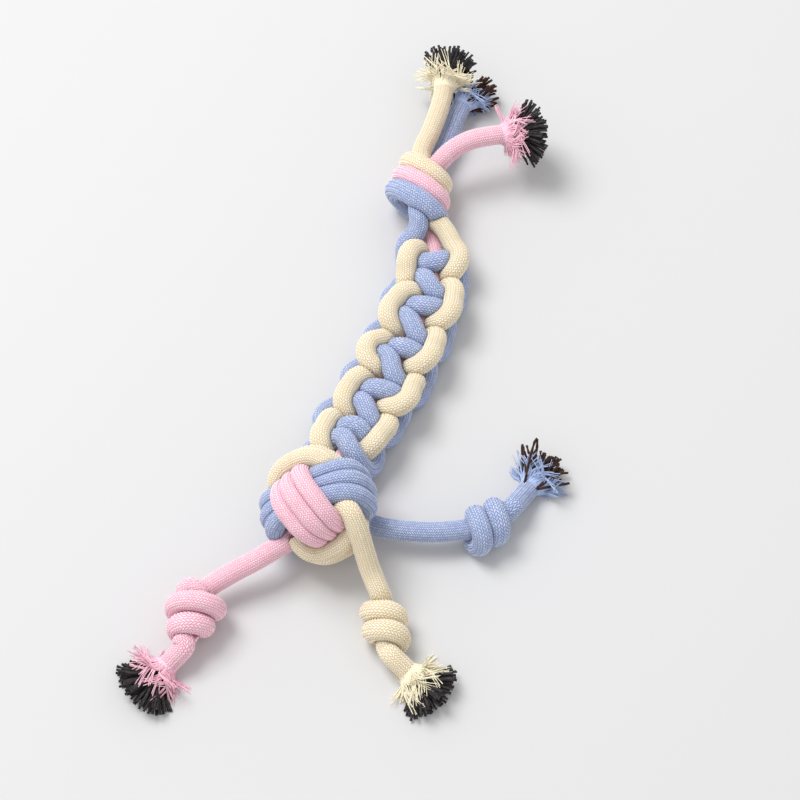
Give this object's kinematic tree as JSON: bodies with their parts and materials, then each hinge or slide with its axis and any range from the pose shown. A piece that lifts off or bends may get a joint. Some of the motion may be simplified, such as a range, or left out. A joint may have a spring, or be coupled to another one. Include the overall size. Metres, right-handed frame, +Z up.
{
  "type": "rope dog toy",
  "caption": "Tug and chew toy of knotted cotton ropes: a wound ball knot with knotted legs, a square-knot body and a top knot with frayed tails.",
  "frame": {"origin": "middle of the toy's outline, on the plane that it lies on", "axes": "+Z up from the plane that it lies on, +Y along the toy's length toward its tails, +X to the right seen from above with the tails away"},
  "size_m": [0.1846, 0.3038, 0.0429],
  "materials": {
    "cream_rope": "braided matte cotton",
    "pink_rope": "braided matte cotton",
    "blue_rope": "braided matte cotton",
    "black_core_yarn": "loose matte yarn",
    "brown_core_yarn": "loose matte yarn"
  },
  "bodies": {
    "ball": {"ball_pink_winding": "pink_rope", "ball_blue_winding": "blue_rope", "ball_cream_winding": "cream_rope", "ball_inner_knot": "cream_rope", "pink_leg_root": "pink_rope", "cream_leg_root": "cream_rope", "blue_leg_root": "blue_rope"},
    "sennit": {"sennit_cream_rope": "cream_rope", "sennit_blue_rope": "blue_rope", "sennit_pink_rope": "pink_rope"},
    "top_knot": {"top_knot_cream_band": "cream_rope", "top_knot_pink_band": "pink_rope", "top_knot_blue_band": "blue_rope", "cream_tail_root": "cream_rope", "pink_tail_root": "pink_rope", "blue_tail_root": "blue_rope"},
    "cream_tail": {"cream_tail_rope": "cream_rope", "cream_tail_cover_yarns": "cream_rope", "cream_tail_core_yarns": "black_core_yarn"},
    "pink_tail": {"pink_tail_rope": "pink_rope", "pink_tail_cover_yarns": "pink_rope", "pink_tail_core_yarns": "black_core_yarn"},
    "blue_tail": {"blue_tail_rope": "blue_rope", "blue_tail_cover_yarns": "blue_rope", "blue_tail_core_yarns": "brown_core_yarn"},
    "pink_leg": {"pink_leg_rope": "pink_rope", "pink_leg_knot": "pink_rope"},
    "pink_foot": {"pink_foot_rope": "pink_rope", "pink_foot_cover_yarns": "pink_rope", "pink_foot_core_yarns": "black_core_yarn"},
    "cream_leg": {"cream_leg_rope": "cream_rope", "cream_leg_knot": "cream_rope"},
    "cream_foot": {"cream_foot_rope": "cream_rope", "cream_foot_cover_yarns": "cream_rope", "cream_foot_core_yarns": "black_core_yarn"},
    "blue_leg": {"blue_leg_rope": "blue_rope", "blue_leg_knot": "blue_rope"},
    "blue_foot": {"blue_foot_rope": "blue_rope", "blue_foot_cover_yarns": "blue_rope", "blue_foot_core_yarns": "brown_core_yarn"}
  },
  "joints": [
    {"name": "waist_swing", "type": "hinge", "parent": "ball", "child": "sennit", "pos_m": [-0.00389, -0.04166, 0.01471], "axis": [0, 0, 1], "range_deg": [-12, 12], "stiffness_Nm_per_rad": 0.05},
    {"name": "neck_swing", "type": "hinge", "parent": "sennit", "child": "top_knot", "pos_m": [0.03137, 0.06716, 0.0084], "axis": [0, 0, 1], "range_deg": [-12, 12], "stiffness_Nm_per_rad": 0.04},
    {"name": "cream_tail_bend", "type": "hinge", "parent": "top_knot", "child": "cream_tail", "pos_m": [0.02874, 0.10381, 0.01528], "axis": [0.957, -0.29, 0], "range_deg": [-4, 35], "stiffness_Nm_per_rad": 0.03},
    {"name": "pink_tail_bend", "type": "hinge", "parent": "top_knot", "child": "pink_tail", "pos_m": [0.03975, 0.09946, 0.02064], "axis": [0.3779, -0.9258, 0], "range_deg": [-8, 30], "stiffness_Nm_per_rad": 0.03},
    {"name": "blue_tail_swing", "type": "hinge", "parent": "top_knot", "child": "blue_tail", "pos_m": [0.03576, 0.10467, 0.00808], "axis": [0, 0, 1], "range_deg": [-20, 0], "stiffness_Nm_per_rad": 0.03},
    {"name": "pink_leg_swing", "type": "hinge", "parent": "ball", "child": "pink_leg", "pos_m": [-0.03343, -0.08135, 0.0148], "axis": [0, 0, 1], "range_deg": [-20, 20], "stiffness_Nm_per_rad": 0.03},
    {"name": "cream_leg_swing", "type": "hinge", "parent": "ball", "child": "cream_leg", "pos_m": [0.00647, -0.08825, 0.0184], "axis": [0, 0, 1], "range_deg": [-20, 20], "stiffness_Nm_per_rad": 0.03},
    {"name": "blue_leg_swing", "type": "hinge", "parent": "ball", "child": "blue_leg", "pos_m": [0.01667, -0.06724, 0.01264], "axis": [0, 0, 1], "range_deg": [-20, 20], "stiffness_Nm_per_rad": 0.03},
    {"name": "pink_foot_bend", "type": "hinge", "parent": "pink_leg", "child": "pink_foot", "pos_m": [-0.06399, -0.11588, 0.01102], "axis": [-0.8, 0.6, 0], "range_deg": [0, 40], "stiffness_Nm_per_rad": 0.02},
    {"name": "cream_foot_bend", "type": "hinge", "parent": "cream_leg", "child": "cream_foot", "pos_m": [0.01432, -0.12317, 0.01102], "axis": [-0.7051, -0.7091, 0], "range_deg": [0, 40], "stiffness_Nm_per_rad": 0.02},
    {"name": "blue_foot_bend", "type": "hinge", "parent": "blue_leg", "child": "blue_foot", "pos_m": [0.06339, -0.05842, 0.01102], "axis": [0.8, -0.6, 0], "range_deg": [0, 40], "stiffness_Nm_per_rad": 0.02}
  ]
}
